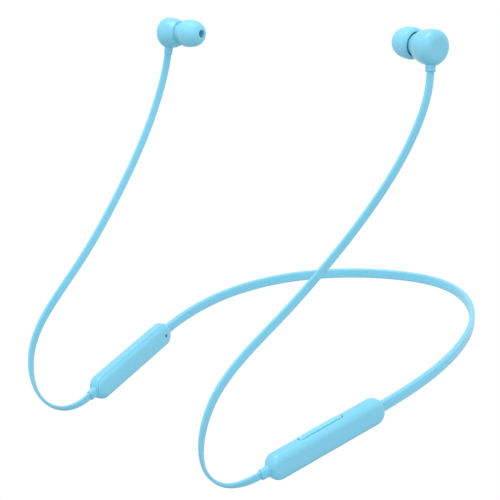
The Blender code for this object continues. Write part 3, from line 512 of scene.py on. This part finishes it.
# ------------------------------------------------------------------ modules
for side in SIDES:
    left = side == "left"
    a, rear = DIR[side], REAR[side]
    out = unit(np.cross((0, 0, 1), a)) * (1 if left else -1)
    up = unit(np.cross(a, out)) * (1 if left else -1)
    roll = MODULE_ROLL[side]
    out, up = out * math.cos(roll) + up * math.sin(roll), up * math.cos(roll) - out * math.sin(roll)
    mid = rear + a * (MODULE_LENGTH / 2)

    def at(s, y, z):
        return mid + a * s + out * y + up * z

    L, H, T = MODULE_LENGTH, MODULE_HEIGHT, MODULE_THICK
    body = side + "_arm"
    seam = SEAM_Y - 0.12

    def module_solid(name, material):
        return pill(name, a, up, at(0, 0, 0), L, H, T, MODULE_CORNER, MODULE_EDGE, material, n=18, m=14, crown=0.10)

    def hollow(name):
        return pill(name, a, up, at(0, 0, 0), L - 2 * WALL, H - 2 * WALL, T - 2 * WALL, MODULE_CORNER - WALL,
                    MODULE_EDGE - WALL, n=8, m=5)

    def slab(name, y0, y1):
        return prism(name, a, up, at(0, (y0 + y1) / 2, 0), L * 1.4, H * 3, 0.01, abs(y1 - y0), n=1)

    shell = module_solid(side + "_module_shell", M_SHELL)
    tools = [hollow("t_hollow"), slab("t_below", seam + 0.05, -20)]
    cover = module_solid(side + "_module_cover", M_SHELL)
    cover_tools = [hollow("t_hollow2"), slab("t_above", seam - 0.05, 20)]

    if left:
        at_s, at_y = 1.4, -0.2
        tools.append(prism("t_rocker", a, out, at(at_s, at_y, 6.0), 21.4 + 0.44, 2.4 + 0.44, 1.42, 8.0, n=12))
        tools.append(prism("t_usb", a, out, at(-19.2, 0.1, -4.9), 8.9 + 0.5, 3.2 + 0.5, 1.85, 4.2, n=12))
        cover_tools.append(prism("t_button", a, up, at(12.5, -3.9, 0), 8.0 + 0.4, 4.4 + 0.4, 2.4, 4.0, n=12))
        cover_tools.append(prism("t_mic", a, up, at(18.6, -3.9, 1.5), 0.9, 0.9, 0.45, 4.0, n=5))
    else:
        tools.append(prism("t_power", a, up, at(-19.0, 3.9, 0), 5.6 + 0.4, 3.2 + 0.4, 1.8, 4.0, n=12))
        cover_tools.append(prism("t_light", a, up, at(-23.1, -3.9, 0), 1.7, 1.7, 0.85, 4.0, n=6))
    cut(shell, tools)
    soften(shell, 0.10)
    cut(cover, cover_tools)
    soften(cover, 0.10)
    for ob, node in ((shell, "_outer_shell"), (cover, "_inner_cover")):
        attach(ob, body)
        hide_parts(side + node)

    # collar where the cable leaves, flared into the module
    gx, gy, gz = unit(out), unit(up), a
    rings = []
    # collar widths (up) and thickness (out) against distance from the module's front end
    for s, w, t, r in ((-3.0, 4.3, 2.8, 1.1), (0.0, 4.75, 3.2, 1.3), (0.25, 4.60, 3.05, 1.3), (0.55, 4.48, 2.95, 1.3),
                       (1.0, 4.40, 2.85, 1.3), (1.7, 4.36, 2.80, 1.25), (2.5, 4.34, 2.76, 1.2), (2.85, 4.32, 2.74, 1.2),
                       (3.08, 4.24, 2.66, 1.15), (3.24, 4.06, 2.50, 1.05), (3.30, 3.82, 2.26, 0.95), (3.30, 3.60, 2.0, 0.8)):
        c = at(L / 2 + s, 0, 0)
        rings.append([c + gx * u + gy * v for u, v in outline(t, w, r, 8)])
    collar = loft(side + "_cable_collar", rings, M_RELIEF, sharp=45.0)
    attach(collar, body)
    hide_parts(side + "_cable_gland")

    if left:
        # volume rocker: a slim bar, ramped at its ends
        rings = []
        low, top, half, w = 4.1, 6.2, 10.7, 2.4
        n = 60
        for i in range(n + 1):
            s = -half + 2 * half * i / n
            e = half - abs(s)
            # plan: full-radius ends
            wide = w if e >= w / 2 else 2 * math.sqrt(max((w / 2) ** 2 - (w / 2 - e) ** 2, 0.0004))
            ramp = min(e / 3.4, 1.0)
            height = top - 0.66 * (1 - ramp) ** 1.8
            r = min(0.55, wide * 0.42)
            c = at(at_s + s, at_y, 0)
            sec = []
            for u, v in ((-wide / 2, low), (wide / 2, low)):
                sec.append(c + out * u + up * v)
            for k in range(9):
                f = math.radians(90.0 * k / 8)
                sec.append(c + out * (wide / 2 - r + r * math.cos(f)) + up * (height - r + r * math.sin(f)))
            for k in range(9):
                f = math.radians(90.0 + 90.0 * k / 8)
                sec.append(c + out * (-wide / 2 + r + r * math.cos(f)) + up * (height - r + r * math.sin(f)))
            rings.append(sec)
        rocker = loft(side + "_volume_bar", rings, M_BUTTON, sharp=50.0, weld=0.002)
        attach(rocker, "volume_rocker")
        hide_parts("volume_rocker")
        x, y, z = axes(a, up)
        button = pill("left_play_button", a, up, at(12.5, -2.85, 0), 8.0, 4.4, 2.5, 2.2, 0.45, M_BUTTON, n=14, m=6,
                      crown=0.16)
        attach(button, "multifunction_button")
        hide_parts("multifunction_button")
    else:
        button = pill("right_power_key", a, up, at(-19.0, 2.75, 0), 5.6, 3.2, 2.7, 1.6, 0.45, M_BUTTON, n=14, m=6, crown=0.12)
        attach(button, "power_button")
        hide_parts("power_button")

# ------------------------------------------------------------------ earbuds
R, B, CORNER, SPLIT, FRONT, FRONT_R, BW = 6.9, 4.6, 3.6, 3.0, 6.2, 5.2, 0.9
BOSS = 4.5                    # low step round the nozzle, under the tip's skirt


def taper(t):
    t0 = -B + CORNER
    return R - (R - FRONT_R) * max(0.0, (t - t0) / (FRONT - t0)) ** 2.4


TW, TR, TE, RIM, RIM_R, WALL_T, FULL = 10.4, 6.15, 19.0, 8.3, 4.9, 0.6, 2.7

for side in SIDES:
    c, d, stem = BUD[side], EAR[side], STEM[side]
    rise = unit(c - stem)
    body = side + "_bud"
    joint = SPLIT + 0.15

    # rear housing: crowned outer face that rolls over into the side wall
    face = [(0.0, -B)] + [((R - CORNER) * k / 8, -B + 0.10 * (k / 8) ** 2) for k in range(1, 8)]
    roll = arc(R - CORNER, -B + CORNER + 0.0, CORNER, CORNER - 0.10, -90, 0, 14)
    wall = [(taper(t), t) for t in np.linspace(-B + CORNER + 0.25, joint - 0.05, 18)]
    lip = [(taper(joint) - 0.02, joint - 0.012), (taper(joint) - 0.06, joint - 0.01), (taper(joint) - BW, joint - 0.01)]
    inside = [(taper(t) - BW, t) for t in np.linspace(joint - 0.5, -B + CORNER, 8)] \
        + list(reversed(arc(R - CORNER, -B + CORNER, CORNER - BW, CORNER - BW, -90, -12, 6))) + [(0.0, -B + BW)]
    rear = lathe(side + "_bud_rear", face + roll + wall + lip + inside, d, c, M_BUD, steps=96)
    # front housing: closes in to the nozzle
    s0 = joint + 0.01
    outer = [(taper(s0) - BW, s0), (taper(s0) - 0.06, s0), (taper(s0) - 0.02, s0 + 0.006)] \
        + [(taper(t), t) for t in np.linspace(s0 + 0.04, FRONT - 0.7, 14)] \
        + arc(taper(FRONT - 0.7) - 0.7, FRONT - 0.7, 0.7, 0.7, 8, 90, 6) \
        + [(BOSS + 0.25, FRONT + 0.02), (BOSS + 0.08, FRONT + 0.10), (BOSS, FRONT + 0.30), (BOSS, RIM - 0.62),
           (BOSS - 0.06, RIM - 0.48), (BOSS - 0.2, RIM - 0.42), (2.9, RIM - 0.40), (2.62, RIM - 0.32), (2.5, RIM - 0.1)]
    nozzle = [(2.5, 12.7), (2.62, 12.82), (2.8, 13.0), (2.8, 13.65), (2.72, 13.86), (2.55, 14.0), (2.0, 14.0), (1.82, 13.9),
              (1.8, 13.7)]
    back = [(1.8, 6.2), (2.0, 5.6), (2.6, 5.2), (taper(s0) - BW - 0.3, 4.2)]
    front = lathe(side + "_bud_front", outer + nozzle + back, d, c, M_BUD, steps=96, closed=True)

    # ear tip: one soft skin, dome, rolled skirt edge and inner sleeve
    core = 3.1
    bore = 1.9
    dome = []
    for k in range(23):
        f = math.radians(79.0 - 79.0 * k / 22)
        dome.append((TR * math.cos(f) ** (2 / FULL), TW + (TE - TW) * math.sin(f) ** (2 / FULL)))
    lipr = [(bore, TE - 0.75), (bore + 0.03, TE - 0.45), (bore + 0.16, TE - 0.2), (bore + 0.40, TE - 0.06)]
    lipr = [q for q in lipr if q[0] < dome[0][0] - 0.05]
    skirt = [(TR - 0.03, TW - 0.40), (TR - 0.16, TW - 0.85), (TR - 0.40, TW - 1.25), (TR - 0.72, TW - 1.6), (RIM_R + 0.16, RIM + 0.16)]
    edge = arc(RIM_R - 0.02, RIM + 0.20, 0.24, 0.22, 0, -180, 6)
    under = [(RIM_R - 0.22, RIM + 0.55), (TR - 0.95, TW - 0.9), (TR - 0.68, TW - 0.1)] \
        + [((TR - WALL_T) * math.cos(math.radians(f)) ** (2 / FULL),
            TW + (TE - TW - 0.9) * math.sin(math.radians(f)) ** (2 / FULL)) for f in np.linspace(8, 46, 7)]
    sleeve = [(core + 0.95, TE - 3.2), (core + 0.74, TE - 3.8), (core + 0.7, TE - 4.6), (core + 0.7, RIM + 0.75),
              (core + 0.55, RIM + 0.5), (core + 0.15, RIM + 0.5), (core, RIM + 0.65), (core, 14.3), (core - 0.3, 14.6),
              (bore, 15.0)]
    tip = lathe(side + "_soft_tip", lipr + dome + skirt + edge + under + sleeve, d, c, M_TIP, steps=96, closed=True, sharp=60.0)
    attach(tip, side + "_tip")
    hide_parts(side + "_ear_tip")

    # strain relief: soft-cornered block with a lip at the cable end
    across = unit(np.cross(rise, d))
    flat = unit(d - rise * np.dot(d, rise))
    top = float(np.dot(c - stem, rise) - (R - BW) + 0.6)
    rings = []
    for s, k, r in ((0.0, 0.78, 0.9), (0.0, 0.88, 1.0), (0.05, 0.95, 1.1), (0.18, 0.99, 1.2), (0.40, 1.0, 1.25), (1.6, 1.0, 1.25),
                    (2.4, 1.01, 1.25), (2.8, 1.04, 1.25), (3.1, 1.10, 1.25), (3.3, 1.17, 1.25), (top, 1.25, 1.25)):
        q = stem + rise * s
        rings.append([q + flat * u + across * v for u, v in outline(2.7 * k, 4.1 * k, r * k, 8)])
    relief = loft(side + "_stem_relief", rings, M_RELIEF, sharp=45.0)
    for ob, node, sl in ((rear, "_rear_housing", "shell_plastic"), (front, "_front_housing", "shell_plastic"),
                         (relief, "_stem", "strain_relief")):
        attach(ob, body)
        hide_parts(side + node)

# ------------------------------------------------------------------ carried-over nodes
for name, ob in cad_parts.items():
    if name.endswith("circuit_board"):
        m = M_BOARD
    elif name.endswith("battery"):
        m = M_FOIL
    elif name.endswith("nozzle_mesh"):
        m = M_GAUZE
    elif name.endswith("bud_magnet"):
        m = M_NICKEL
    elif name.endswith("switch") or name.endswith("driver"):
        m = M_BLACK
    elif name.endswith("band_anchor"):
        m = M_NYLON
    elif name == "status_light_guide":
        m = M_LENS
    elif name in ("rocker_pivot", "usb_c_receptacle", "microphone") or name.endswith("memory_wire"):
        m = M_STEEL
    elif name.endswith("band") or name.endswith("gland") or name.endswith("stem"):
        m = M_BAND
    elif name.endswith("ear_cable"):
        m = M_CABLE
    elif name.endswith("ear_tip"):
        m = M_TIP
    else:
        m = M_SHELL
    ob.data.materials.clear()
    ob.data.materials.append(m)

# ------------------------------------------------------------------ floor, light
# a pale floor well below the piece, which fades into the white studio around it
floor = bpy.data.meshes.new("floor")
floor.from_pydata([(-2, -2, 0), (2, -2, 0), (2, 2, 0), (-2, 2, 0)], [], [(0, 1, 2, 3)])
floor_ob = bpy.data.objects.new("floor", floor)
bpy.context.scene.collection.objects.link(floor_ob)
floor_ob.location = (0, -0.08, -0.45)
fm = bpy.data.materials.new("pale_floor")
fm.use_nodes = True
ft = fm.node_tree
fb = ft.nodes["Principled BSDF"]
fb.inputs["Base Color"].default_value = (0.44, 0.44, 0.44, 1.0)
fb.inputs["Roughness"].default_value = 0.9
fb.inputs["Specular IOR Level"].default_value = 0.1
fco = ft.nodes.new("ShaderNodeTexCoord")
fl = ft.nodes.new("ShaderNodeVectorMath")
fl.operation = "LENGTH"
ft.links.new(fco.outputs["Object"], fl.inputs[0])
fr = ft.nodes.new("ShaderNodeMapRange")
fr.interpolation_type = "SMOOTHSTEP"
fr.inputs["From Min"].default_value = 0.30
fr.inputs["From Max"].default_value = 0.66
fr.inputs["To Min"].default_value = 1.0
fr.inputs["To Max"].default_value = 0.0
ft.links.new(fl.outputs["Value"], fr.inputs["Value"])
ft.links.new(fr.outputs["Result"], fb.inputs["Alpha"])
floor.materials.append(fm)

bpy.context.scene.view_settings.view_transform = "Standard"
world = bpy.data.worlds.new("studio")
bpy.context.scene.world = world
world.use_nodes = True
bg = world.node_tree.nodes["Background"]
bg.inputs["Strength"].default_value = 1.0
# white all round, and dimmer straight below, as over a studio table
wt = world.node_tree
wc = wt.nodes.new("ShaderNodeTexCoord")
wz = wt.nodes.new("ShaderNodeSeparateXYZ")
wt.links.new(wc.outputs["Generated"], wz.inputs["Vector"])
wr = wt.nodes.new("ShaderNodeMapRange")
wr.interpolation_type = "SMOOTHSTEP"
wr.inputs["From Min"].default_value = -0.85
wr.inputs["From Max"].default_value = -0.47
wr.inputs["To Min"].default_value = 0.22
wr.inputs["To Max"].default_value = 1.0
wt.links.new(wz.outputs["Z"], wr.inputs["Value"])
wt.links.new(wr.outputs["Result"], bg.inputs["Color"])


def softbox(name, place, aim, size, watts):
    l = bpy.data.lights.new(name, "AREA")
    l.shape = "RECTANGLE"
    l.size, l.size_y = size
    l.energy = watts
    o = bpy.data.objects.new(name, l)
    bpy.context.scene.collection.objects.link(o)
    o.location = place
    o.rotation_euler = (Vector(aim) - Vector(place)).to_track_quat("-Z", "Y").to_euler()
    return o


middle = (0.0, -0.10, 0.03)
softbox("top_light", (-0.10, -0.35, 1.10), middle, (0.6, 0.6), 4.8)
softbox("front_light", (0.75, -0.85, 0.60), middle, (0.35, 0.45), 1.6)

bpy.context.view_layer.update()
